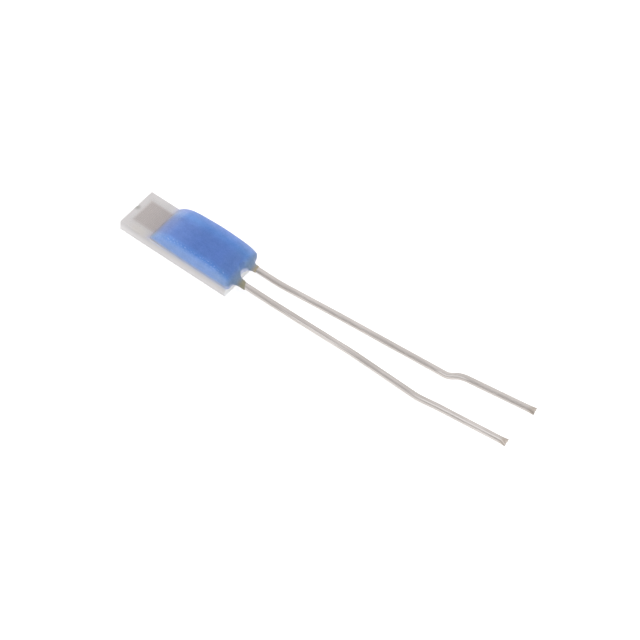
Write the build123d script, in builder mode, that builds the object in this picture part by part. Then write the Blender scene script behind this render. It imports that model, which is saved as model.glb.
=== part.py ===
"""Thin-film platinum resistance temperature detector with two bare wire leads.

A small ceramic plate carries a platinum track under a film of glass.  Two wires are
welded to pads at one end, and a bead of blue glass fixes them there.

Frame: the origin is the middle of the plate's underside, +X points along the leads,
+Y across the plate and +Z up, away from the plate's back.  Lengths are millimetres.
"""

import os

from build123d import *

# ---------------------------------------------------------------- driving dimensions
# ceramic plate
substrate_length = 3.9
substrate_width = 1.5
substrate_thickness = 0.38
edge_break = 0.015
chip_radius = 0.12
chip_bite = 0.022
chip_y = 0.05

# platinum track: straight legs along the plate, joined by turns at alternate ends
film_thickness = 0.001
track_width = 0.03
track_gap = 0.02
leg_count = 18
meander_x_start = -1.70
meander_x_end = -0.15

# contact pads for the two wires
pad_length = 0.85
pad_width = 0.54
pad_thickness = 0.008
pad_corner = 0.05
pad_x_start = 0.90

# glass film over the track
glass_thickness = 0.02
glass_width = 1.26
glass_x_start = -1.84
glass_x_end = pad_x_start

# wires
lead_diameter = 0.2
lead_pitch = 0.70
weld_flat = 0.01
weld_x_start = 0.98
weld_length = 1.2
tip_length = 0.16
tip_width = 0.27
tip_thickness = 0.11
tip_notch_depth = 0.06
tip_notch_width = 0.13

# blue glass bead
bead_x_start = -0.90
bead_x_end = 2.02
bead_height = 0.57
bead_shoulder = 0.17
bead_shoulder_share = 0.60
bead_crown_share = 0.10
bead_end_round = 0.09
notch_x = 1.985
notch_y = 0.03
notch_radius = 0.20
notch_lean = 15.0
collar_length = 0.30
collar_round = 0.015

# ---------------------------------------------------------------- worked-out levels
half_length = substrate_length / 2
ceramic_top = substrate_thickness
lead_radius = lead_diameter / 2
pad_top = ceramic_top + pad_thickness
lead_level = pad_top + lead_radius - weld_flat
leg_pitch = track_width + track_gap
meander_width = leg_count * leg_pitch - track_gap
outer_leg_y = (meander_width - track_width) / 2


# ---------------------------------------------------------------- ceramic substrate
# a snapped-out plate: sharp edges with a trace of bevel, and one small chip in the
# upper edge of the sensing end
with BuildPart() as ceramic_substrate:
    Box(
        substrate_length,
        substrate_width,
        substrate_thickness,
        align=(Align.CENTER, Align.CENTER, Align.MIN),
    )
    chamfer(ceramic_substrate.faces().sort_by(Axis.Z)[-1].edges(), edge_break)
    with Locations((-half_length - chip_radius + chip_bite, chip_y, ceramic_top)):
        Sphere(chip_radius, mode=Mode.SUBTRACT)
ceramic_substrate.part.label = "ceramic_substrate"


# ---------------------------------------------------------------- platinum meander
def leg_y(index):
    """Centre line of one leg, counted from the -Y side."""
    return index * leg_pitch - outer_leg_y


with BuildPart() as platinum_meander:
    with BuildSketch(Plane.XY.offset(ceramic_top)):
        for leg in range(leg_count):
            outermost = leg in (0, leg_count - 1)
            x_end = pad_x_start if outermost else meander_x_end
            with Locations((meander_x_start, leg_y(leg))):
                Rectangle(
                    x_end - meander_x_start,
                    track_width,
                    align=(Align.MIN, Align.CENTER),
                )
        for turn in range(leg_count - 1):
            at_start = turn % 2 == 0
            turn_x = meander_x_start if at_start else meander_x_end - track_width
            with Locations((turn_x, leg_y(turn))):
                Rectangle(track_width, leg_pitch, align=(Align.MIN, Align.MIN))
    extrude(amount=film_thickness)
platinum_meander.part.label = "platinum_meander"


# ---------------------------------------------------------------- contact pads
def contact_pad(side):
    """One printed pad; side is -1 near and +1 far."""
    with BuildPart() as pad:
        with BuildSketch(Plane.XY.offset(ceramic_top)):
            with Locations((pad_x_start, side * lead_pitch / 2)):
                RectangleRounded(
                    pad_length,
                    pad_width,
                    pad_corner,
                    align=(Align.MIN, Align.CENTER),
                )
        extrude(amount=pad_thickness)
    return pad.part


bond_pad_near = contact_pad(-1)
bond_pad_near.label = "bond_pad_near"
bond_pad_far = contact_pad(1)
bond_pad_far.label = "bond_pad_far"


# ---------------------------------------------------------------- cover glass
with BuildPart() as cover_glass:
    with BuildSketch(Plane.XY.offset(ceramic_top)):
        with Locations((glass_x_start, 0)):
            Rectangle(
                glass_x_end - glass_x_start,
                glass_width,
                align=(Align.MIN, Align.CENTER),
            )
    extrude(amount=glass_thickness)
    add(platinum_meander.part, mode=Mode.SUBTRACT)
cover_glass.part.label = "cover_glass"


# ---------------------------------------------------------------- wires
# routes of the two centre lines; each wire is straight out of the bead, then bent by
# handling, with a kink at the same distance along both
near_route = [
    (weld_x_start, -lead_pitch / 2, lead_level),
    (3.40, -lead_pitch / 2, lead_level),
    (6.10, -0.285, 0.46),
    (8.35, -0.325, 0.43),
    (8.98, -0.262, 0.48),
    (10.98, -0.190, 0.705),
]
near_bends = [8.0, 5.0, 1.5, 1.5]
far_route = [
    (weld_x_start, lead_pitch / 2, lead_level),
    (3.10, lead_pitch / 2, lead_level),
    (5.10, 0.550, 0.46),
    (8.67, 0.857, 0.42),
    (8.99, 0.945, 0.645),
    (11.12, 1.180, 0.75),
]
far_bends = [5.0, 8.0, 0.40, 0.70]


def wire_lead(points, bends):
    """A bent round wire, flat where it is welded and pinched to a fishtail at its tip."""
    with BuildPart() as wire:
        with BuildLine() as route:
            FilletPolyline(*points, radius=bends)
        line = route.wire()
        with BuildSketch(Plane(origin=line @ 0, z_dir=line % 0)):
            Circle(lead_radius)
        sweep(path=line)
        level_across = Vector(0, 0, 1).cross(line % 1)
        end = Plane(origin=line @ 1, x_dir=level_across, z_dir=line % 1)
        with BuildSketch(end):
            Circle(lead_radius)
        with BuildSketch(end.offset(tip_length)):
            Ellipse(tip_width / 2, tip_thickness / 2)
        loft()
        notch = Plane(origin=end.offset(tip_length).origin, x_dir=line % 1, z_dir=end.y_dir)
        with BuildSketch(notch):
            with BuildLine():
                Polyline(
                    (-tip_notch_depth, 0),
                    (lead_radius, tip_notch_width),
                    (lead_radius, -tip_notch_width),
                    close=True,
                )
            make_face()
        extrude(amount=lead_radius, both=True, mode=Mode.SUBTRACT)
        with BuildSketch(Plane.XY.offset(pad_top)):
            with Locations((weld_x_start, points[0][1])):
                Rectangle(weld_length, lead_diameter, align=(Align.MIN, Align.CENTER))
        extrude(amount=-lead_radius, mode=Mode.SUBTRACT)
    return wire.part


lead_wire_near = wire_lead(near_route, near_bends)
lead_wire_near.label = "lead_wire_near"
lead_wire_far = wire_lead(far_route, far_bends)
lead_wire_far.label = "lead_wire_far"


# ---------------------------------------------------------------- glass bead
# stations along the plate: x, half-width at the foot, height above the ceramic
bead_stations = [
    (bead_x_start, 0.70, 0.035),
    (-0.76, 0.71, 0.25),
    (-0.55, 0.72, 0.425),
    (-0.20, 0.735, 0.53),
    (0.30, 0.745, 0.565),
    (1.00, 0.75, bead_height),
    (1.60, 0.75, 0.515),
    (1.86, 0.75, 0.44),
    (bead_x_end, 0.74, 0.34),
]
# stations along each wire: x, spread, half-width, rise, half-height, with spread and rise
# counted from the wire's axis; the near one sags outwards and down
near_neck = [
    (1.84, 0.02, 0.34, 0.11, 0.22),
    (1.98, 0.02, 0.26, 0.08, 0.19),
    (2.08, 0.01, 0.165, 0.03, 0.150),
    (2.19, 0.005, 0.128, 0.004, 0.128),
]
far_neck = [
    (1.84, 0.02, 0.34, 0.11, 0.22),
    (1.98, 0.02, 0.27, 0.06, 0.20),
    (2.06, 0.01, 0.180, 0.01, 0.16),
    (2.13, 0, 0.130, 0, 0.130),
    (2.19, 0, 0.117, 0, 0.117),
]
# where each collar ends on the wire's axis, and which way its end looks
near_collar_x = 2.345
near_collar_facing = (1, 0.50, 0.30)
far_collar_x = 2.28
far_collar_facing = (1, 0, 0)


def bead_section(x, half_width, height):
    """One cross-section of the bead: steep walls, round shoulders, a slight crown."""
    shoulder = min(bead_shoulder, height * bead_shoulder_share)
    wall_top = ceramic_top + height * (1 - bead_crown_share)
    with BuildSketch(Plane.YZ.offset(x)) as section:
        with BuildLine():
            Polyline(
                (-half_width, wall_top),
                (-half_width, ceramic_top),
                (half_width, ceramic_top),
                (half_width, wall_top),
            )
            ThreePointArc(
                (half_width, wall_top),
                (0, ceramic_top + height),
                (-half_width, wall_top),
            )
        make_face()
        fillet(section.vertices().group_by(Axis.Y)[-1], shoulder)
    return section.sketch


with BuildPart() as bead_body:
    loft([bead_section(*station) for station in bead_stations])
    end_rim = bead_body.faces().sort_by(Axis.X)[-1].edges().sort_by(Axis.Z)[1:]
    fillet(end_rim, bead_end_round)


def bead_neck(side, stations, collar_x, facing):
    """The glass drawn out along one wire: an oval mouth narrowing to a round collar."""
    end = Plane((collar_x, side * lead_pitch / 2, lead_level), z_dir=facing)
    with BuildPart() as neck:
        for x, spread, half_width, rise, half_height in stations:
            with BuildSketch(Plane.YZ.offset(x)):
                with Locations((side * (lead_pitch / 2 + spread), lead_level + rise)):
                    Ellipse(half_width, half_height)
        loft()
        extrude(neck.faces().sort_by(Axis.X)[-1], amount=collar_length)
        split(bisect_by=end, keep=Keep.BOTTOM)
        rim = neck.faces().sort_by(Axis.X)[-1].edges()
        fillet(rim, collar_round)
    return neck.part


with BuildPart() as fixing_bead:
    add(bead_body.part)
    add(bead_neck(-1, near_neck, near_collar_x, near_collar_facing))
    add(bead_neck(1, far_neck, far_collar_x, far_collar_facing))
    notch_foot = Plane((notch_x + notch_radius, notch_y, ceramic_top))
    with BuildSketch(notch_foot.rotated((0, -notch_lean, 0))):
        Circle(notch_radius)
    extrude(amount=bead_height, mode=Mode.SUBTRACT)
    for neighbour in (
        ceramic_substrate.part,
        platinum_meander.part,
        cover_glass.part,
        bond_pad_near,
        bond_pad_far,
        lead_wire_near,
        lead_wire_far,
    ):
        add(neighbour, mode=Mode.SUBTRACT)
fixing_bead.part.label = "fixing_bead"


# ---------------------------------------------------------------- write the pieces
pieces = [
    ceramic_substrate.part,
    platinum_meander.part,
    bond_pad_near,
    bond_pad_far,
    cover_glass.part,
    lead_wire_near,
    lead_wire_far,
    fixing_bead.part,
]
os.makedirs("parts", exist_ok=True)
for piece in pieces:
    export_step(piece, f"parts/{piece.label}.step")
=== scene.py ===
"""Looks of a thin-film platinum resistance temperature detector.

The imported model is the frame: its pieces keep their place and size.  Each operator below
finishes one piece or group of like pieces, and the last one builds the stage.
"""

import math

import bmesh
import bpy
from mathutils import Matrix, Vector


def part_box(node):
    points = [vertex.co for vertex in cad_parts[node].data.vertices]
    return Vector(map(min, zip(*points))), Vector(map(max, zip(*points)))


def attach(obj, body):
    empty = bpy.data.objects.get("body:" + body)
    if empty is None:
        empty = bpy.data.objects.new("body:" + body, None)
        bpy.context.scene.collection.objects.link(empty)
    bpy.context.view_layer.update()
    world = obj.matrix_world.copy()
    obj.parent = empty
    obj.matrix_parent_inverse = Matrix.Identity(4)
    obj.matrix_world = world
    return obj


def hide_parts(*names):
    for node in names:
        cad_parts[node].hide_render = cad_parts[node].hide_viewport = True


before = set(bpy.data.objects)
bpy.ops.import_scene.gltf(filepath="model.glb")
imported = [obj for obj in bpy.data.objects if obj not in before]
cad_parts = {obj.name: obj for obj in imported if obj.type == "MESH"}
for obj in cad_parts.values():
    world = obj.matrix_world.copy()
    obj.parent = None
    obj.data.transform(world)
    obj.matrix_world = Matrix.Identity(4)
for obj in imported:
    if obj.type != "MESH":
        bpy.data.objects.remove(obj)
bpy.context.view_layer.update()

bl_info = {
    "name": "Thin-film temperature detector",
    "version": (1, 0, 0),
    "blender": (4, 5, 0),
    "location": "View3D > Sidebar > Detector",
    "description": "Finishes a platinum resistance detector and builds its stage",
    "category": "Object",
}

BODY = "root"
WHITE = (1.0, 1.0, 1.0)
MILLIMETRE = 0.001  # in metres
PER_METRE = 1 / MILLIMETRE  # millimetres in a metre
MERGE_DISTANCE = 1e-5  # in millimetres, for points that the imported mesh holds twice
FOOT_SLACK = 0.0005 * MILLIMETRE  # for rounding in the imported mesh
SENSOR_WIDTH = 36.0  # in millimetres
FARTHEST_VIEW = 10.0  # in metres

substrate_low, substrate_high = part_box("ceramic_substrate")
glass_low, glass_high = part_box("cover_glass")
track_low, track_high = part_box("platinum_meander")
bead_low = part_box("fixing_bead")[0]
ceramic_top = substrate_high.z


# ------------------------------------------------------------------ kinds of setting
def colour_property(name, description, default):
    """A linear colour that a user may change."""
    return bpy.props.FloatVectorProperty(
        name=name,
        description=description,
        subtype="COLOR",
        size=3,
        min=0.0,
        max=1.0,
        default=default,
    )


def factor_property(name, description, default):
    """Factors for red, green and blue that a user may change."""
    return bpy.props.FloatVectorProperty(
        name=name,
        description=description,
        size=3,
        min=0.0,
        default=default,
    )


def length_property(name, description, millimetres):
    """A length that a user may change, given here in millimetres."""
    return bpy.props.FloatProperty(
        name=name,
        description=description,
        subtype="DISTANCE",
        unit="LENGTH",
        min=0.0,
        precision=6,
        default=millimetres * MILLIMETRE,
    )


def place_property(name, description, millimetres):
    """A point that a user may move, given here in millimetres."""
    return bpy.props.FloatVectorProperty(
        name=name,
        description=description,
        subtype="TRANSLATION",
        unit="LENGTH",
        precision=6,
        default=[part * MILLIMETRE for part in millimetres],
    )


def share_property(name, description, default):
    """A share from 0 to 1 that a user may change."""
    return bpy.props.FloatProperty(
        name=name,
        description=description,
        subtype="FACTOR",
        min=0.0,
        max=1.0,
        default=default,
    )


def level_property(name, description, default):
    """A brightness from 0 up that a user may change."""
    return bpy.props.FloatProperty(
        name=name,
        description=description,
        min=0.0,
        default=default,
    )


def angle_property(name, description, degrees):
    """An angle that a user may change, given here in degrees."""
    return bpy.props.FloatProperty(
        name=name,
        description=description,
        subtype="ANGLE",
        unit="ROTATION",
        default=math.radians(degrees),
    )


# ------------------------------------------------------------------ sizes and colours
class CeramicSettings(bpy.types.PropertyGroup):
    """The fired alumina plate."""

    face_colour: colour_property("Face", "Top face beside the bead", (0.73, 0.71, 0.71))
    tail_colour: colour_property("Tail", "Top face at the sensing end", (0.66, 0.635, 0.635))
    # Painted light: the walls turn paler towards their foot as if lit from the floor, and the
    # end wall under the wires is near white.
    wall_floor_light: colour_property("Walls", "Snapped side walls", (0.90, 0.87, 0.875))
    end_wall_light: colour_property("End wall", "Wall under the wires", (0.97, 0.98, 1.00))
    gap_colour: colour_property("Gaps", "Plate between the track's legs", (0.63, 0.575, 0.565))
    edge_width: length_property("Edge", "Width over which a face's colour turns", 0.03)
    # Painted shade: the plate dims from its sensing end towards the bead.
    tail_level: level_property("Tail level", "Brightness at the sensing end", 1.10)
    bead_level: level_property("Bead level", "Brightness from the bead onwards", 0.97)
    tint_colour: colour_property("Tint", "Walls lit through the bead", (0.60, 0.645, 0.80))
    tint_share: share_property("Tint share", "Strength of that tint", 0.85)
    end_share: share_property("End share", "How much of the tint the end wall takes", 0.60)
    tint_reach: length_property("Tint reach", "Length over which the tint grows", 0.30)
    tint_height: length_property("Tint height", "How far down the walls it reaches", 0.12)
    near_tint: factor_property("Near tint", "Warmer near rim", (0.957, 0.938, 0.908))
    # Painted bluish shade on the near rim and painted blue light on the far rim, both beside
    # the bead.
    near_rim_shade: factor_property("Near glow", "Near rim by the bead", (0.94, 0.96, 1.045))
    far_rim_bead_light: factor_property("Far glow", "Far rim by the bead", (1.07, 1.08, 1.13))
    # A darker round patch at the chipped edge.
    chip_colour: colour_property("Chip", "Stain at the chipped edge", (0.43, 0.42, 0.40))
    chip_place: place_property("Chip place", "Middle of the stain", (-1.89, -0.01, 0.38))
    chip_radius: length_property("Chip size", "Radius of the stain", 0.15)
    cloud_size: length_property("Clouds", "Size of the faint clouds", 0.50)
    cloud_shade: share_property("Cloud shade", "Brightness of the darkest cloud", 0.97)
    grain_size: length_property("Grain", "Size of the ceramic's grain", 0.02)
    grain_shade: share_property("Grain shade", "Brightness of the darkest grain", 0.98)
    grain_depth: length_property("Grain depth", "Depth of the grain", 0.002)
    roughness: share_property("Roughness", "Roughness of the plate", 0.55)
    glow_depth: length_property("Glow depth", "How deep light wanders in the ceramic", 0.12)


class FilmSettings(bpy.types.PropertyGroup):
    """The platinum film, its pads and the glass over them."""

    track_colour: colour_property("Track", "Platinum film", (0.565, 0.51, 0.495))
    track_shade: share_property("Track shade", "Brightness of its darkest patch", 0.94)
    track_patch: length_property("Track patches", "Size of its patches", 0.15)
    border_colour: colour_property("Border", "Film at the track's border", (0.64, 0.60, 0.59))
    border_width: length_property("Border width", "Width of that border", 0.04)
    pad_colour: colour_property("Pads", "Printed contact pads", (0.55, 0.54, 0.52))
    pad_shade: share_property("Pad shade", "Brightness of their darkest grain", 0.90)
    pad_grain: length_property("Pad grain", "Size of their grain", 0.03)
    pad_depth: length_property("Pad depth", "Depth of their grain", 0.002)
    glass_colour: colour_property("Glass", "Haze in the cover glass", (0.80, 0.78, 0.78))
    glass_shade: share_property("Glass shade", "Brightness of its darkest cloud", 0.94)
    glass_haze: share_property("Haze", "How much of the plate the glass hides", 0.04)
    haze_spread: share_property("Haze spread", "How unevenly it hides the plate", 0.08)
    glass_cloud: length_property("Glass clouds", "Size of the clouds in the haze", 0.25)
    glass_depth: length_property("Glass depth", "Depth of the glass's waves", 0.001)
    rim_width: length_property("Rim", "Width over which the glass thins out", 0.10)
    glass_gap: length_property("Gap", "Height of the glass above the film", 0.0005)


class BeadSettings(bpy.types.PropertyGroup):
    """The blue glass bead over the welds."""

    voxel: length_property("Cells", "Size of the cells of the melted mesh", 0.014)
    blend_passes: bpy.props.IntProperty(
        name="Blend",
        description="Smoothing passes that melt the bead into its necks",
        min=0,
        default=22,
    )
    foot_depth: length_property("Foot", "Depth that the bead's foot is sunk", 0.03)
    foot_reach: length_property("Foot reach", "How far past the plate it is sunk", 0.08)
    near_plug: length_property("Near plug", "Filled channel past the plate, near wire", 0.44)
    far_plug: length_property("Far plug", "Filled channel past the plate, far wire", 0.35)
    ramp_length: length_property("Ramp", "Length over which the glass deepens", 1.4)
    thin_at: share_property("Thin at", "Where on the ramp the glass is thin", 0.17)
    middle_at: share_property("Middling at", "Where on the ramp it is middling", 0.45)
    edge_colour: colour_property("Edge", "Thinnest glass", (0.412, 0.404, 0.500))
    thin_colour: colour_property("Thin", "Thin glass", (0.285, 0.368, 0.700))
    middle_colour: colour_property("Middling", "Middling glass", (0.168, 0.290, 0.700))
    deep_colour: colour_property("Deep", "Thick glass", (0.102, 0.210, 0.575))
    near_colour: colour_property("Near flank", "Glass on the near wall", (0.255, 0.410, 0.800))
    far_colour: colour_property("Far flank", "Glass at the far edge", (0.270, 0.390, 0.800))
    rim_colour: colour_property("Far rim", "Glass on the far wall", (0.245, 0.320, 0.560))
    foot_colour: colour_property("Foot colour", "Glass at its foot", (0.440, 0.480, 0.680))
    neck_colour: colour_property("Neck", "Glass at the necks", (0.160, 0.248, 0.430))
    collar_colour: colour_property("Collar", "Glass at the collars", (0.310, 0.292, 0.218))
    # Low on the bead's end: partly thinner glass at its foot, partly painted light where the
    # necks shade it.
    skirt_colour: colour_property("Skirt", "Glass low on its end", (0.460, 0.530, 0.840))
    # Painted highlight: pale glints on the bead's near shoulder.
    glint_colour: colour_property("Frost", "Specks on the near shoulder", (0.520, 0.640, 0.900))
    glint_share: share_property("Frost share", "Strength of those specks", 0.45)
    glint_size: length_property("Frost size", "Size of those specks", 0.045)
    # Paler long sides: partly thinner glass, partly painted sheen, strongest on the far side.
    side_lift: factor_property("Side lift", "Paler long sides", (1.12, 1.28, 1.18))
    # Painted light on the brow over the notch, which lies in shade between the necks.
    notch_painted_light: factor_property("Notch lift", "Paler brow over the notch", (1.40, 1.33, 1.18))
    # Painted light: the far collar is lifted out of its shade.
    far_collar_painted_light: factor_property("Far collar lift", "Far collar", (1.38, 1.27, 1.22))
    far_corner_lift: factor_property("Far corner lift", "Far thin corner", (1.38, 1.17, 1.10))
    wire_end_lift: factor_property("Wire end lift", "Glass by the necks", (1.02, 0.98, 0.90))
    cloud_size: length_property("Clouds", "Size of the broad clouds", 0.22)
    streak_size: length_property("Streaks", "Width of the streaks along the bead", 0.07)
    speck_size: length_property("Specks", "Size of the fine specks", 0.035)
    cloud_shade: factor_property("Cloud shade", "Darkest cloud", (0.90, 0.93, 0.95))
    streak_shade: factor_property("Streak shade", "Darkest streak", (0.95, 0.96, 0.97))
    speck_shade: factor_property("Speck shade", "Darkest speck", (0.85, 0.90, 0.93))
    palest: factor_property("Palest", "Palest cloud, streak or speck", (1.06, 1.045, 1.025))
    cloud_depth: length_property("Cloud depth", "Depth of the surface's waves", 0.004)
    roughness: share_property("Roughness", "Roughness of the bead", 0.50)
    glow_depth: length_property("Glow depth", "How deep light wanders in the glass", 0.15)


class LeadSettings(bpy.types.PropertyGroup):
    """The bare wires."""

    metal_colour: colour_property("Metal", "Wire metal", (0.67, 0.625, 0.600))
    tarnish_colour: colour_property("Tarnish", "Duller streaks", (0.54, 0.50, 0.475))
    # Painted highlight: a bright line along each wire, on the side that faces the near horizon.
    highlight_colour: colour_property("Worn", "Line rubbed bright by handling", (0.95, 0.90, 0.875))
    highlight_core: angle_property("Worn core", "Half-width of the bright line, full", 5.0)
    highlight_edge: angle_property("Worn edge", "Half-width at which the line is gone", 15.0)
    tip_tint: factor_property("Tips", "Darker pinched tips", (0.86, 0.82, 0.77))
    near_heading: angle_property("Near heading", "Turn of the near wire off +X", 1.0)
    far_heading: angle_property("Far heading", "Turn of the far wire off +X", 5.7)
    line_size: length_property("Lines", "Width of the lines drawn by the die", 0.04)
    line_depth: length_property("Line depth", "Depth of those lines", 0.003)
    patch_size: length_property("Patches", "Width of the duller patches", 0.40)
    roughness: share_property("Roughness", "Roughness of the wires", 0.35)


class StageSettings(bpy.types.PropertyGroup):
    """Floor, light and camera."""

    floor_size: length_property("Floor size", "Side of the floor", 1200.0)
    floor_colour: colour_property("Floor", "Pale floor", (0.82, 0.82, 0.82))
    floor_lift: level_property("Floor lift", "Glow that shows the floor as white", 0.57)
    floor_grain: length_property("Floor grain", "Size of the floor's grain", 2.0)
    card_colour: colour_property("Card", "Pale grey card on the near side", (0.88, 0.88, 0.88))
    card_grain: length_property("Card grain", "Size of the card's grain", 3.0)
    card_width: length_property("Card width", "Width of the card", 600.0)
    card_height: length_property("Card height", "Height of the card's top edge", 260.0)
    card_foot: length_property("Card foot", "How far nearer its foot stands", 220.0)
    card_top: length_property("Card top", "How far nearer its top edge hangs", 85.0)
    lamp_size: length_property("Lamp size", "Side of the square lamp", 160.0)
    lamp_place: place_property("Lamp place", "Where the lamp hangs", (40.0, -30.0, 200.0))
    key_level: level_property("Key", "Share of the light level from the lamp", 0.30)
    wall_level: level_property("Tent walls", "Surroundings near the horizon", 1.0)
    roof_level: level_property("Tent roof", "Surroundings overhead", 0.55)
    tent_slope: share_property("Tent slope", "How much brighter the +X side is", 0.20)
    azimuth: angle_property("Azimuth", "Direction of the camera about the vertical", 23.51)
    elevation: angle_property("Elevation", "Height of the camera above the horizon", 53.71)
    roll: angle_property("Roll", "Turn of the camera about its own axis", 13.43)
    distance: length_property("Distance", "Camera to its target", 40.97)
    target: place_property("Target", "Point that the camera looks at", (4.677, 0.177, 0.300))
    lens: bpy.props.FloatProperty(
        name="Lens",
        description=f"Focal length for a sensor {SENSOR_WIDTH:g} mm wide",
        subtype="DISTANCE_CAMERA",
        default=79.52,
    )


SETTINGS = {
    "detector_ceramic": CeramicSettings,
    "detector_film": FilmSettings,
    "detector_bead": BeadSettings,
    "detector_leads": LeadSettings,
    "detector_stage": StageSettings,
}


# ------------------------------------------------------------------ node helpers
def new_material(name):
    """A material with an empty node tree."""
    material = bpy.data.materials.new(name)
    material.use_nodes = True
    material.node_tree.nodes.clear()
    return material


def add_node(tree, kind, inputs=None, **settings):
    """A node whose inputs are set to values or joined to other nodes' outputs."""
    node = tree.nodes.new(kind)
    for name, value in settings.items():
        setattr(node, name, value)
    for name, value in (inputs or {}).items():
        if isinstance(value, bpy.types.NodeSocket):
            tree.links.new(value, node.inputs[name])
        else:
            node.inputs[name].default_value = value
    return node


def opaque(colour):
    """The colour with an alpha of 1."""
    return (*colour, 1.0)


def grey(level):
    """The same level for red, green and blue."""
    return (level, level, level)


def position(tree):
    """The x, y and z outputs of a point's place in the row frame, in metres."""
    place = add_node(tree, "ShaderNodeTexCoord")
    parts = add_node(tree, "ShaderNodeSeparateXYZ", {"Vector": place.outputs["Object"]})
    return parts.outputs["X"], parts.outputs["Y"], parts.outputs["Z"]


def maths(tree, operation, first, second=0.0):
    """The result of one arithmetic step."""
    node = add_node(tree, "ShaderNodeMath", {0: first, 1: second}, operation=operation)
    return node.outputs[0]


def overlap(tree, *shares):
    """The product of several shares, which is 1 only where all of them are."""
    product = shares[0]
    for share in shares[1:]:
        product = maths(tree, "MULTIPLY", product, share)
    return product


def fade(tree, value, start, end, low=0.0, high=1.0, kind="SMOOTHSTEP"):
    """A step from low where value is start to high where it is end."""
    node = add_node(
        tree,
        "ShaderNodeMapRange",
        {"Value": value, "From Min": start, "From Max": end, "To Min": low, "To Max": high},
        interpolation_type=kind,
    )
    return node.outputs["Result"]


def grade(tree, value, start, end, low=0.0, high=1.0):
    """A fade whose step is straight."""
    return fade(tree, value, start, end, low, high, "LINEAR")


def fade_from(tree, value, origin, start, end):
    """A fade between two distances from an origin, given in millimetres."""
    return fade(tree, value, origin + start * MILLIMETRE, origin + end * MILLIMETRE)


def zone(tree, spans):
    """1 within a zone bounded by spans, each an axis and where the zone begins and is full."""
    axes = dict(zip("xyz", position(tree)))
    return overlap(
        tree, *(fade_from(tree, axes[axis], 0, start, full) for axis, start, full in spans)
    )


def window(tree, low, high, width):
    """1 within a box seen from above, falling smoothly to 0 over a width inside its edges."""
    x, y, _ = position(tree)
    return overlap(
        tree,
        fade(tree, x, low.x, low.x + width),
        fade(tree, x, high.x, high.x - width),
        fade(tree, y, low.y, low.y + width),
        fade(tree, y, high.y, high.y - width),
    )


def blend(tree, share, first, second, mode="MIX"):
    """Two colours mixed by a share."""
    node = add_node(
        tree,
        "ShaderNodeMix",
        {"Factor": share, "A": first, "B": second},
        data_type="RGBA",
        blend_type=mode,
    )
    return node.outputs["Result"]


def scaled(tree, share, colour, low, high):
    """A colour times factors that go from low to high as a share goes from 0 to 1."""
    factors = blend(tree, share, opaque(low), opaque(high))
    return blend(tree, 1.0, colour, factors, "MULTIPLY")


def tinted(tree, share, colour, factors):
    """A colour multiplied by factors where the share is 1."""
    return scaled(tree, share, colour, WHITE, factors)


def mottled(tree, share, colour, shade):
    """A colour that goes from a shade of itself to its full brightness with a share."""
    darker = [shade * part for part in colour]
    return blend(tree, share, opaque(darker), opaque(colour))


def noise(tree, size, detail=2.0, stretch=(1.0, 1.0, 1.0), heading=0.0):
    """Noise of a given grain in metres, drawn out along axes turned by a heading."""
    place = add_node(tree, "ShaderNodeTexCoord")
    scale = tuple(1 / (size * along) for along in stretch)
    turned = add_node(
        tree,
        "ShaderNodeMapping",
        {"Vector": place.outputs["Object"], "Rotation": (0, 0, -heading), "Scale": scale},
    )
    node = add_node(
        tree,
        "ShaderNodeTexNoise",
        {"Vector": turned.outputs["Vector"], "Scale": 1.0, "Detail": detail},
    )
    return node.outputs["Fac"]


def full_range(tree, value):
    """Noise, which keeps to the middle of its range, drawn out to all of it."""
    return grade(tree, value, 0.3, 0.7)


def bump(tree, height, depth, strength=1.0):
    """A normal pushed in and out by a height from 0 to 1 times a depth in metres."""
    node = add_node(
        tree,
        "ShaderNodeBump",
        {"Height": height, "Distance": depth, "Strength": strength},
    )
    return node.outputs["Normal"]


def seen_ray(tree):
    """1 for rays that show a surface: straight, in a reflection or through glass."""
    rays = add_node(tree, "ShaderNodeLightPath")
    seen = maths(tree, "MAXIMUM", rays.outputs["Is Camera Ray"], rays.outputs["Is Glossy Ray"])
    return maths(tree, "MAXIMUM", seen, rays.outputs["Is Transmission Ray"])


def principled(tree, inputs):
    """A Principled shader on the material's surface."""
    shader = add_node(tree, "ShaderNodeBsdfPrincipled", inputs)
    add_node(tree, "ShaderNodeOutputMaterial", {"Surface": shader.outputs["BSDF"]})


# ------------------------------------------------------------------ ceramic and films
CREEP_TINT = (0.92, 0.94, 1.04)


def wetted(tree, colour):
    """A colour of the plate's top, cooler in a narrow strip where thin glass creeps over it."""
    x, _, z = position(tree)
    creep = overlap(
        tree,
        fade_from(tree, x, bead_low.x, -0.12, -0.02),
        fade_from(tree, x, bead_low.x, 0.05, 0.0),
        fade_from(tree, z, ceramic_top, -0.02, 0.0),
    )
    return tinted(tree, creep, colour, CREEP_TINT)


def plate_colour(tree, settings):
    """The plate's own colour on its top and between the track's legs, with painted light on its
    walls: paler towards their foot and near white on the end wall under the wires.
    """
    x, _, z = position(tree)
    edge = settings.edge_width
    to_bead = fade(tree, x, substrate_low.x, bead_low.x)
    colour = blend(tree, to_bead, opaque(settings.tail_colour), opaque(settings.face_colour))
    margin = Vector((1, 1, 0)) * 2 * edge
    gaps = window(tree, track_low - margin, track_high + margin, 2 * edge)
    colour = blend(tree, gaps, colour, opaque(settings.gap_colour))
    # painted light: the walls grow paler towards their foot, as if lit by the floor
    colour = blend(tree, fade(tree, z, ceramic_top, 0), colour, opaque(settings.wall_floor_light))
    # painted light on the end wall, which lies in the necks' shade
    end_wall = fade(tree, x, substrate_high.x - edge, substrate_high.x)
    return blend(tree, end_wall, colour, opaque(settings.end_wall_light))


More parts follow.
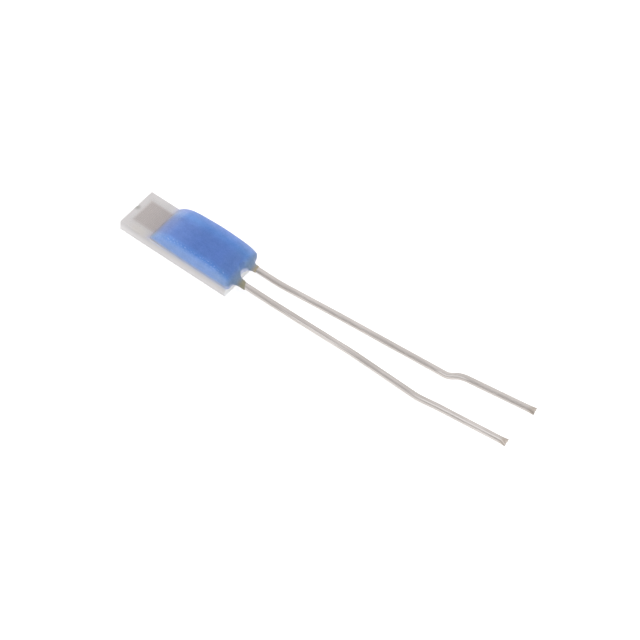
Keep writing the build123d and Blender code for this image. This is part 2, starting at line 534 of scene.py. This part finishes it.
def lit_through_bead(tree, colour, settings):
    """The plate's colour with the blue light that comes through the bead onto its walls."""
    x, y, z = position(tree)
    edge = settings.edge_width
    near_wall = fade(tree, y, substrate_low.y + edge, substrate_low.y)
    end_wall = fade(tree, x, substrate_high.x - edge, substrate_high.x)
    end_part = maths(tree, "MULTIPLY", end_wall, settings.end_share)
    tint = overlap(
        tree,
        fade(tree, z, ceramic_top - settings.tint_height, ceramic_top),
        fade(tree, x, bead_low.x, bead_low.x + settings.tint_reach),
        maths(tree, "MAXIMUM", near_wall, end_part),
        settings.tint_share,
    )
    return blend(tree, tint, colour, opaque(settings.tint_colour))


def rims_tinted(tree, colour, settings):
    """The plate's colour, warmer on its near rim, with painted bluish shade on its near rim by
    the bead and painted blue light from the bead on its far rim.
    """
    x, y, z = position(tree)
    beside = fade(tree, x, bead_low.x - settings.tint_reach, bead_low.x)
    near_rim = overlap(
        tree,
        fade_from(tree, y, substrate_low.y, 0.40, 0.10),
        fade_from(tree, z, ceramic_top, -0.16, -0.04),
        fade_from(tree, x, substrate_low.x, 0.20, 0.55),
        fade_from(tree, x, bead_low.x, 0.09, 0.0),
    )
    far_rim = fade_from(tree, y, substrate_high.y, -0.45, -0.15)
    colour = tinted(tree, near_rim, colour, settings.near_tint)
    # painted shade on the near rim and painted blue light on the far rim, beside the bead
    colour = tinted(tree, overlap(tree, near_rim, beside), colour, settings.near_rim_shade)
    return tinted(tree, overlap(tree, far_rim, beside), colour, settings.far_rim_bead_light)


def chip_darkened(tree, colour, settings):
    """The plate's colour, darker in a round patch at its chipped edge."""
    place = add_node(tree, "ShaderNodeTexCoord")
    away = add_node(
        tree,
        "ShaderNodeVectorMath",
        {0: place.outputs["Object"], 1: settings.chip_place},
        operation="DISTANCE",
    )
    darker_patch = fade(tree, away.outputs["Value"], settings.chip_radius, 0.0)
    return blend(tree, darker_patch, colour, opaque(settings.chip_colour))


def fired_alumina(settings):
    """Fine-grained white ceramic, with painted light that makes its walls paler."""
    material = new_material("fired_alumina")
    tree = material.node_tree
    grain = noise(tree, settings.grain_size)
    cloud = noise(tree, settings.cloud_size)
    colour = plate_colour(tree, settings)
    colour = lit_through_bead(tree, colour, settings)
    colour = rims_tinted(tree, colour, settings)
    colour = wetted(tree, colour)
    colour = chip_darkened(tree, colour, settings)
    # painted shade: the plate dims towards the bead
    to_bead = fade(tree, position(tree)[0], substrate_low.x, bead_low.x)
    levels = grey(settings.tail_level), grey(settings.bead_level)
    colour = scaled(tree, to_bead, colour, *levels)
    colour = scaled(tree, full_range(tree, cloud), colour, grey(settings.cloud_shade), WHITE)
    colour = scaled(tree, full_range(tree, grain), colour, grey(settings.grain_shade), WHITE)
    principled(
        tree,
        {
            "Base Color": colour,
            "Roughness": settings.roughness,
            "Subsurface Weight": 0.5,
            "Subsurface Radius": grey(1.0),
            "Subsurface Scale": settings.glow_depth,
            "Normal": bump(tree, grain, settings.grain_depth, 0.5),
        },
    )
    return material


def platinum_film(settings):
    """A dull grey metal film."""
    material = new_material("platinum_film")
    tree = material.node_tree
    patch = full_range(tree, noise(tree, settings.track_patch))
    inside = mottled(tree, patch, settings.track_colour, settings.track_shade)
    inner = window(tree, track_low, track_high, settings.border_width)
    colour = blend(tree, inner, opaque(settings.border_colour), inside)
    principled(
        tree,
        {"Base Color": wetted(tree, colour), "Metallic": 0.3, "Roughness": 0.5},
    )
    return material


def pad_metal(settings):
    """Printed and fired contact metal."""
    material = new_material("pad_metal")
    tree = material.node_tree
    grain = noise(tree, settings.pad_grain)
    principled(
        tree,
        {
            "Base Color": mottled(tree, grain, settings.pad_colour, settings.pad_shade),
            "Metallic": 0.8,
            "Roughness": 0.5,
            "Normal": bump(tree, grain, settings.pad_depth),
        },
    )
    return material


def hazy_glass(settings):
    """A thin fired glass film that veils what lies under it."""
    material = new_material("hazy_glass")
    tree = material.node_tree
    cloud = full_range(tree, noise(tree, settings.glass_cloud))
    thinnest = settings.glass_haze * (1 - settings.haze_spread)
    thickest = settings.glass_haze * (1 + settings.haze_spread)
    haze = grade(tree, cloud, 0.0, 1.0, thinnest, thickest)
    within = window(tree, glass_low, glass_high, 2 * settings.rim_width)
    principled(
        tree,
        {
            "Base Color": mottled(tree, cloud, settings.glass_colour, settings.glass_shade),
            "Roughness": 0.3,
            "Alpha": overlap(tree, haze, within),
            "Normal": bump(tree, cloud, settings.glass_depth),
        },
    )
    return material


# ------------------------------------------------------------------ blue glass
# Zones of the bead.  A span is an axis and the places along it, in millimetres, where the
# zone begins and where it is full.  Later layers and lifts lie over earlier ones.
# The side zones and the near and far flank colours pale the long sides: partly thinner glass,
# partly painted sheen.
NEAR_SIDE = (("y", -0.46, -0.70),)
FAR_SIDE = (("y", 0.05, 0.45),)
# Zone of the painted glints on the near shoulder.
NEAR_SHOULDER = (("y", -0.55, -0.63), ("y", -0.74, -0.67), ("x", 1.95, 1.70))
BEAD_LAYERS = {
    "near_colour": (("y", -0.65, -0.75),),
    "far_colour": (("y", 0.35, 0.72),),
    "rim_colour": (("y", 0.64, 0.74),),
    "foot_colour": (("z", 0.52, 0.39),),
    "neck_colour": (("x", 1.85, 2.08),),
    "collar_colour": (("x", 2.06, 2.30),),
    # partly thinner glass, partly painted light on the shaded low end
    "skirt_colour": (("z", 0.56, 0.42), ("x", 2.10, 2.03), ("x", 1.86, 1.96)),
}
BEAD_LIFTS = {
    # painted light on the shaded brow over the notch
    "notch_painted_light": (("x", 1.84, 1.96), ("y", -0.27, -0.09), ("y", 0.33, 0.15)),
    # painted light on the shaded far collar
    "far_collar_painted_light": (("x", 2.00, 2.20), ("y", -0.10, 0.10)),
    "far_corner_lift": (("y", 0.25, 0.50), ("x", -0.25, -0.50)),
    "wire_end_lift": (("x", 1.30, 1.75),),
}


def depth_colour(tree, settings):
    """The glass's colour from its thin edge on the plate to where it is thick."""
    x = position(tree)[0]
    along = grade(tree, x, bead_low.x, bead_low.x + settings.ramp_length)
    ramp = add_node(tree, "ShaderNodeValToRGB", {"Fac": along})
    stops = ramp.color_ramp.elements
    stops[0].position = 0.0
    stops[0].color = opaque(settings.edge_colour)
    stops[1].position = 1.0
    stops[1].color = opaque(settings.deep_colour)
    stops.new(settings.thin_at).color = opaque(settings.thin_colour)
    stops.new(settings.middle_at).color = opaque(settings.middle_colour)
    return ramp.outputs["Color"]


def blue_glass(settings):
    """Cloudy blue glass: paler where it is thin, browned where it wets the wires, with painted
    sheen on its long sides, painted light on its low end, notch brow and far collar, and
    painted glints on its near shoulder.
    """
    material = new_material("blue_glass")
    tree = material.node_tree
    sides = maths(tree, "MAXIMUM", zone(tree, NEAR_SIDE), zone(tree, FAR_SIDE))
    # paler long sides: partly thinner glass, partly painted sheen
    colour = tinted(tree, sides, depth_colour(tree, settings), settings.side_lift)
    for name, spans in BEAD_LAYERS.items():
        colour = blend(tree, zone(tree, spans), colour, opaque(getattr(settings, name)))
    for name, spans in BEAD_LIFTS.items():
        colour = tinted(tree, zone(tree, spans), colour, getattr(settings, name))
    cloud = full_range(tree, noise(tree, settings.cloud_size, 3.0))
    streak = full_range(tree, noise(tree, settings.streak_size, 2.0, (3.0, 1.0, 1.0)))
    speck = full_range(tree, noise(tree, settings.speck_size))
    colour = scaled(tree, cloud, colour, settings.cloud_shade, settings.palest)
    colour = scaled(tree, streak, colour, settings.streak_shade, settings.palest)
    colour = scaled(tree, speck, colour, settings.speck_shade, settings.palest)
    # painted highlight: glints scattered along the near shoulder
    peaks = fade(tree, noise(tree, settings.glint_size, 1.0), 0.56, 0.70)
    glints = overlap(tree, zone(tree, NEAR_SHOULDER), peaks, settings.glint_share)
    colour = blend(tree, glints, colour, opaque(settings.glint_colour))
    principled(
        tree,
        {
            "Base Color": colour,
            "Roughness": settings.roughness,
            "Subsurface Weight": 0.5,
            "Subsurface Radius": grey(1.0),
            "Subsurface Scale": settings.glow_depth,
            "Normal": bump(tree, cloud, settings.cloud_depth),
        },
    )
    return material


# ------------------------------------------------------------------ wire metal
# Along each wire a painted highlight, a bright line, comes and goes in turn.  Each row is one
# such change: where along x it starts and ends, in millimetres, and which way round the wire
# the line looks at those two places, in degrees from +Y towards +Z.
HIGHLIGHT_CHANGES = {
    "near": ((3.1, 4.4, 126, 141), (5.2, 6.8, 141, 126), (7.9, 8.6, 126, 122)),
    "far": ((8.2, 8.5, 133, 133), (9.0, 9.4, 133, 133)),
}


def highlight_line(tree, settings, changes):
    """1 on a painted highlight, a thin line along the wire, on the side that faces the near
    horizon.
    """
    x = position(tree)[0]
    place = add_node(tree, "ShaderNodeTexCoord")
    facing = add_node(tree, "ShaderNodeSeparateXYZ", {"Vector": place.outputs["Normal"]})
    angle = maths(tree, "ARCTAN2", facing.outputs["Z"], facing.outputs["Y"])
    centre = math.radians(changes[0][2])
    present = 0.0
    for number, (start, end, from_angle, to_angle) in enumerate(changes):
        done = fade_from(tree, x, 0, start, end)
        turn = math.radians(to_angle - from_angle)
        centre = maths(tree, "ADD", centre, maths(tree, "MULTIPLY", done, turn))
        step = "ADD" if number % 2 == 0 else "SUBTRACT"
        present = maths(tree, step, present, done)
    away = maths(tree, "ABSOLUTE", maths(tree, "SUBTRACT", angle, centre))
    return overlap(tree, fade(tree, away, settings.highlight_edge, settings.highlight_core), present)


def drawn_wire(settings, side, heading):
    """Bright wire with fine lines along it from the drawing die and a painted highlight along
    one side.
    """
    material = new_material(f"drawn_wire_{side}")
    tree = material.node_tree
    lines = noise(tree, settings.line_size, 2.0, (50.0, 1.0, 1.0), heading)
    patches = noise(tree, settings.patch_size, 2.0, (3.0, 1.0, 1.0), heading)
    tone = grade(tree, maths(tree, "ADD", lines, patches), 0.75, 1.25)
    colour = blend(tree, tone, opaque(settings.tarnish_colour), opaque(settings.metal_colour))
    # painted highlight along the side that faces the near horizon
    highlight = highlight_line(tree, settings, HIGHLIGHT_CHANGES[side])
    colour = blend(tree, highlight, colour, opaque(settings.highlight_colour))
    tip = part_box(f"lead_wire_{side}")[1].x
    pinched = fade_from(tree, position(tree)[0], tip, -0.28, -0.10)
    principled(
        tree,
        {
            "Base Color": tinted(tree, pinched, colour, settings.tip_tint),
            "Metallic": 1.0,
            "Roughness": settings.roughness,
            "Normal": bump(tree, lines, settings.line_depth),
        },
    )
    return material


# ------------------------------------------------------------------ stage finishes
def pale_floor(settings):
    """A pale floor that shows as the white background, apart from the object's shadow."""
    material = new_material("pale_floor")
    tree = material.node_tree
    grain = full_range(tree, noise(tree, settings.floor_grain))
    colour = mottled(tree, grain, settings.floor_colour, shade=0.99)
    glow = {"Color": colour, "Strength": settings.floor_lift}
    plain = add_node(tree, "ShaderNodeBsdfDiffuse", {"Color": colour})
    lift = add_node(tree, "ShaderNodeEmission", glow)
    lifted = add_node(tree, "ShaderNodeAddShader", {0: plain.outputs[0], 1: lift.outputs[0]})
    shown = add_node(
        tree,
        "ShaderNodeMixShader",
        {0: seen_ray(tree), 1: plain.outputs[0], 2: lifted.outputs[0]},
    )
    add_node(tree, "ShaderNodeOutputMaterial", {"Surface": shown.outputs[0]})
    return material


def grey_card(settings):
    """Matt card of a pale grey."""
    material = new_material("grey_card")
    tree = material.node_tree
    grain = noise(tree, settings.card_grain)
    colour = mottled(tree, grain, settings.card_colour, shade=0.96)
    shader = add_node(tree, "ShaderNodeBsdfDiffuse", {"Color": colour})
    add_node(tree, "ShaderNodeOutputMaterial", {"Surface": shader.outputs[0]})
    return material


# ------------------------------------------------------------------ meshes
def dress(node_name, material):
    """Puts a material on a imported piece."""
    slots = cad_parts[node_name].data.materials
    slots.clear()
    slots.append(material)


def add_piece(name, mesh, node_name, material):
    """A new piece that stands for a packed one and rides with it."""
    mesh.materials.clear()
    mesh.materials.append(material)
    piece = bpy.data.objects.new(name, mesh)
    bpy.context.scene.collection.objects.link(piece)
    for face in mesh.polygons:
        face.use_smooth = True
    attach(piece, BODY)
    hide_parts(node_name)


def keep_largest_shell(shape):
    """Removes the closed shells inside a mesh, so that only its outer skin is left."""
    unseen = set(shape.verts)
    shells = []
    while unseen:
        front = [unseen.pop()]
        shell = set(front)
        while front:
            vertex = front.pop()
            for edge in vertex.link_edges:
                other = edge.other_vert(vertex)
                if other in unseen:
                    unseen.remove(other)
                    shell.add(other)
                    front.append(other)
        shells.append(shell)
    if not shells:
        raise RuntimeError("the bead's cells did not close round it")
    shells.sort(key=len)
    inner = [vertex for shell in shells[:-1] for vertex in shell]
    bmesh.ops.delete(shape, geom=inner, context="VERTS")


def sunk_bead(settings):
    """The bead's solid in millimetres, with its foot sunk into the plate."""
    shape = bmesh.new()
    shape.from_mesh(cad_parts["fixing_bead"].data)
    foot_top = glass_high.z + FOOT_SLACK
    foot_end = substrate_high.x + settings.foot_reach
    for vertex in shape.verts:
        if vertex.co.z < foot_top and vertex.co.x < foot_end:
            vertex.co.z = ceramic_top - settings.foot_depth
    bmesh.ops.transform(shape, matrix=Matrix.Scale(PER_METRE, 4), verts=shape.verts)
    return shape


def fill_channel(shape, node_name, end):
    """Adds the stretch of a wire that lies before an x, so that it fills its channel."""
    plug = bmesh.new()
    plug.from_mesh(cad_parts[node_name].data)
    bmesh.ops.transform(plug, matrix=Matrix.Scale(PER_METRE, 4), verts=plug.verts)
    bmesh.ops.remove_doubles(plug, verts=plug.verts, dist=MERGE_DISTANCE)
    bmesh.ops.bisect_plane(
        plug,
        geom=[*plug.verts, *plug.edges, *plug.faces],
        plane_co=(end * PER_METRE, 0, 0),
        plane_no=(1, 0, 0),
        clear_outer=True,
    )
    rim = [edge for edge in plug.edges if edge.is_boundary]
    bmesh.ops.contextual_create(plug, geom=rim)
    mesh = bpy.data.meshes.new("plug")
    plug.to_mesh(mesh)
    plug.free()
    shape.from_mesh(mesh)
    bpy.data.meshes.remove(mesh)


def melted_mesh(shape, settings):
    """A shape's parts, in millimetres, melted together under one smooth skin."""
    parts = bpy.data.meshes.new("bead_parts")
    shape.to_mesh(parts)
    worker = bpy.data.objects.new("bead_worker", parts)
    bpy.context.scene.collection.objects.link(worker)
    cells = worker.modifiers.new("cells", "REMESH")
    cells.mode = "VOXEL"
    cells.voxel_size = settings.voxel * PER_METRE
    melt = worker.modifiers.new("melt", "SMOOTH")
    melt.factor = 0.5
    melt.iterations = settings.blend_passes
    evaluated = worker.evaluated_get(bpy.context.evaluated_depsgraph_get())
    melted = bpy.data.meshes.new_from_object(evaluated)
    bpy.data.objects.remove(worker)
    bpy.data.meshes.remove(parts)
    return melted


def bead_mesh(settings):
    """The bead with its creases melted together and its wire channels filled."""
    shape = sunk_bead(settings)
    fill_channel(shape, "lead_wire_near", substrate_high.x + settings.near_plug)
    fill_channel(shape, "lead_wire_far", substrate_high.x + settings.far_plug)
    mesh = melted_mesh(shape, settings)
    shape.free()
    skin = bmesh.new()
    skin.from_mesh(mesh)
    keep_largest_shell(skin)
    bmesh.ops.transform(skin, matrix=Matrix.Scale(MILLIMETRE, 4), verts=skin.verts)
    skin.to_mesh(mesh)
    skin.free()
    mesh.name = "blue_bead"
    return mesh


def film_mesh(low, high, rim, gap):
    """A thin sheet whose top falls away towards its rim."""
    sheet = bmesh.new()
    shares_of_rim = (0.0, 0.25, 0.6, 1.0)
    rings = []
    for share in shares_of_rim:
        inset = rim * share
        height = (high.z - low.z - gap) * math.sin(share * math.pi / 2)
        corners = (
            (low.x + inset, low.y + inset),
            (high.x - inset, low.y + inset),
            (high.x - inset, high.y - inset),
            (low.x + inset, high.y - inset),
        )
        rings.append([sheet.verts.new((x, y, low.z + gap + height)) for x, y in corners])
    for lower, upper in zip(rings, rings[1:]):
        for corner in range(len(lower)):
            following = (corner + 1) % len(lower)
            sheet.faces.new(
                (lower[corner], lower[following], upper[following], upper[corner])
            )
    sheet.faces.new(rings[-1])
    sheet.faces.new(rings[0][::-1])
    mesh = bpy.data.meshes.new("cover_film")
    sheet.to_mesh(mesh)
    sheet.free()
    return mesh


# ------------------------------------------------------------------ stage
def stage_sheet(name, corners, material):
    """A flat four-cornered sheet of the stage."""
    mesh = bpy.data.meshes.new(name)
    mesh.from_pydata(corners, [], [(0, 1, 2, 3)])
    mesh.materials.append(material)
    sheet = bpy.data.objects.new(name, mesh)
    bpy.context.scene.collection.objects.link(sheet)
    return sheet


def lay_floor(settings):
    """The square floor that the plate lies on."""
    half = settings.floor_size / 2
    corners = [(-half, -half, 0), (half, -half, 0), (half, half, 0), (-half, half, 0)]
    stage_sheet("floor", corners, pale_floor(settings))


def stand_card(settings):
    """A pale card on the near side, seen only in the wires as their darker flank."""
    half = settings.card_width / 2
    foot = -settings.card_foot
    top = -settings.card_top
    height = settings.card_height
    corners = [(-half, foot, 0), (half, foot, 0), (half, top, height), (-half, top, height)]
    card = stage_sheet("grey_card", corners, grey_card(settings))
    card.visible_camera = False
    card.visible_diffuse = False
    card.visible_shadow = False


def light_surroundings(scene, settings):
    """A light tent, dimmer overhead, that shows as plain white and mirrors as white."""
    world = bpy.data.worlds.new("white_tent")
    scene.world = world
    world.use_nodes = True
    tree = world.node_tree
    tree.nodes.clear()
    place = add_node(tree, "ShaderNodeTexCoord")
    parts = add_node(tree, "ShaderNodeSeparateXYZ", {"Vector": place.outputs["Generated"]})
    levels = settings.wall_level, settings.roof_level
    tent = fade(tree, parts.outputs["Z"], 0.2, 0.8, *levels)
    slope = settings.tent_slope
    sideways = fade(tree, parts.outputs["X"], -1.0, 1.0, 1 - slope, 1 + slope)
    lit = add_node(
        tree,
        "ShaderNodeBackground",
        {"Color": opaque(WHITE), "Strength": overlap(tree, tent, sideways)},
    )
    white = add_node(
        tree, "ShaderNodeBackground", {"Color": opaque(WHITE), "Strength": 1.0}
    )
    shown = add_node(
        tree,
        "ShaderNodeMixShader",
        {0: seen_ray(tree), 1: lit.outputs[0], 2: white.outputs[0]},
    )
    add_node(tree, "ShaderNodeOutputWorld", {"Surface": shown.outputs[0]})


def hang_lamp(settings):
    """One large soft lamp overhead."""
    place = Vector(settings.lamp_place)
    lamp = bpy.data.lights.new("key_lamp", "AREA")
    lamp.shape = "SQUARE"
    lamp.size = settings.lamp_size
    # the power that shows a white floor under the lamp at the key level
    slant = place.z / place.length
    lamp.energy = settings.key_level * math.pi**2 * place.length_squared / slant
    key = bpy.data.objects.new("key_lamp", lamp)
    turn = place.to_track_quat("Z", "Y").to_matrix().to_4x4()
    key.matrix_world = Matrix.Translation(place) @ turn
    key.visible_glossy = False
    bpy.context.scene.collection.objects.link(key)


def place_camera(scene, settings):
    """The camera at its direction and distance from the target."""
    level = math.cos(settings.elevation)
    back = Vector(
        (
            math.sin(settings.azimuth) * level,
            -math.cos(settings.azimuth) * level,
            math.sin(settings.elevation),
        )
    )
    turned = back.to_track_quat("Z", "Y").to_matrix().to_4x4()
    turned = turned @ Matrix.Rotation(settings.roll, 4, "Z")
    lens = bpy.data.cameras.new("camera")
    lens.sensor_width = SENSOR_WIDTH
    lens.lens = settings.lens
    lens.clip_start = MILLIMETRE
    lens.clip_end = FARTHEST_VIEW
    camera = bpy.data.objects.new("camera", lens)
    spot = Vector(settings.target) + back * settings.distance
    camera.matrix_world = Matrix.Translation(spot) @ turned
    scene.collection.objects.link(camera)
    scene.camera = camera


# ------------------------------------------------------------------ operators
class DETECTOR_OT_ceramic(bpy.types.Operator):
    """Gives the plate its fired alumina finish."""

    bl_idname = "detector.ceramic"
    bl_label = "Ceramic plate"

    def execute(self, context):
        dress("ceramic_substrate", fired_alumina(context.scene.detector_ceramic))
        return {"FINISHED"}


class DETECTOR_OT_film(bpy.types.Operator):
    """Gives the platinum track and the contact pads their metal finish."""

    bl_idname = "detector.film"
    bl_label = "Track and pads"

    def execute(self, context):
        settings = context.scene.detector_film
        dress("platinum_meander", platinum_film(settings))
        metal = pad_metal(settings)
        for side in ("near", "far"):
            dress(f"bond_pad_{side}", metal)
        return {"FINISHED"}


class DETECTOR_OT_cover(bpy.types.Operator):
    """Lays the hazy glass film over the track."""

    bl_idname = "detector.cover"
    bl_label = "Cover glass"

    def execute(self, context):
        settings = context.scene.detector_film
        gap = track_high.z - track_low.z + settings.glass_gap
        mesh = film_mesh(glass_low, glass_high, settings.rim_width, gap)
        add_piece("cover_film", mesh, "cover_glass", hazy_glass(settings))
        return {"FINISHED"}


class DETECTOR_OT_bead(bpy.types.Operator):
    """Melts the blue glass bead over the welds."""

    bl_idname = "detector.bead"
    bl_label = "Glass bead"

    def execute(self, context):
        settings = context.scene.detector_bead
        mesh = bead_mesh(settings)
        add_piece("blue_bead", mesh, "fixing_bead", blue_glass(settings))
        return {"FINISHED"}


class DETECTOR_OT_leads(bpy.types.Operator):
    """Gives both wires their drawn metal finish."""

    bl_idname = "detector.leads"
    bl_label = "Wires"

    def execute(self, context):
        settings = context.scene.detector_leads
        headings = {"near": settings.near_heading, "far": settings.far_heading}
        for side, heading in headings.items():
            dress(f"lead_wire_{side}", drawn_wire(settings, side, heading))
        return {"FINISHED"}


class DETECTOR_OT_stage(bpy.types.Operator):
    """Builds the floor, the surroundings, the lamp, the card and the camera."""

    bl_idname = "detector.stage"
    bl_label = "Stage"

    def execute(self, context):
        settings = context.scene.detector_stage
        lay_floor(settings)
        light_surroundings(context.scene, settings)
        hang_lamp(settings)
        stand_card(settings)
        place_camera(context.scene, settings)
        context.scene.view_settings.view_transform = "Standard"
        return {"FINISHED"}


# ------------------------------------------------------------------ panel and start
OPERATORS = (
    DETECTOR_OT_ceramic,
    DETECTOR_OT_film,
    DETECTOR_OT_cover,
    DETECTOR_OT_bead,
    DETECTOR_OT_leads,
    DETECTOR_OT_stage,
)


class DETECTOR_PT_pieces(bpy.types.Panel):
    """Lists the steps that finish the detector."""

    bl_idname = "DETECTOR_PT_pieces"
    bl_label = "Temperature detector"
    bl_space_type = "VIEW_3D"
    bl_region_type = "UI"
    bl_category = "Detector"

    def draw(self, context):
        for step in OPERATORS:
            self.layout.operator(step.bl_idname)
        for name, group in SETTINGS.items():
            box = self.layout.box()
            for field in group.__annotations__:
                box.prop(getattr(context.scene, name), field)


def register():
    """Adds the settings, the steps and the panel to Blender."""
    for name, group in SETTINGS.items():
        bpy.utils.register_class(group)
        setattr(bpy.types.Scene, name, bpy.props.PointerProperty(type=group))
    for added in (*OPERATORS, DETECTOR_PT_pieces):
        bpy.utils.register_class(added)


def unregister():
    """Takes them out again."""
    for added in reversed((*OPERATORS, DETECTOR_PT_pieces)):
        bpy.utils.unregister_class(added)
    for name, group in SETTINGS.items():
        delattr(bpy.types.Scene, name)
        bpy.utils.unregister_class(group)


def main():
    """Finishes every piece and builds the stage."""
    register()
    bpy.ops.detector.ceramic()
    bpy.ops.detector.film()
    bpy.ops.detector.cover()
    bpy.ops.detector.bead()
    bpy.ops.detector.leads()
    bpy.ops.detector.stage()


if __name__ == "__main__":
    main()
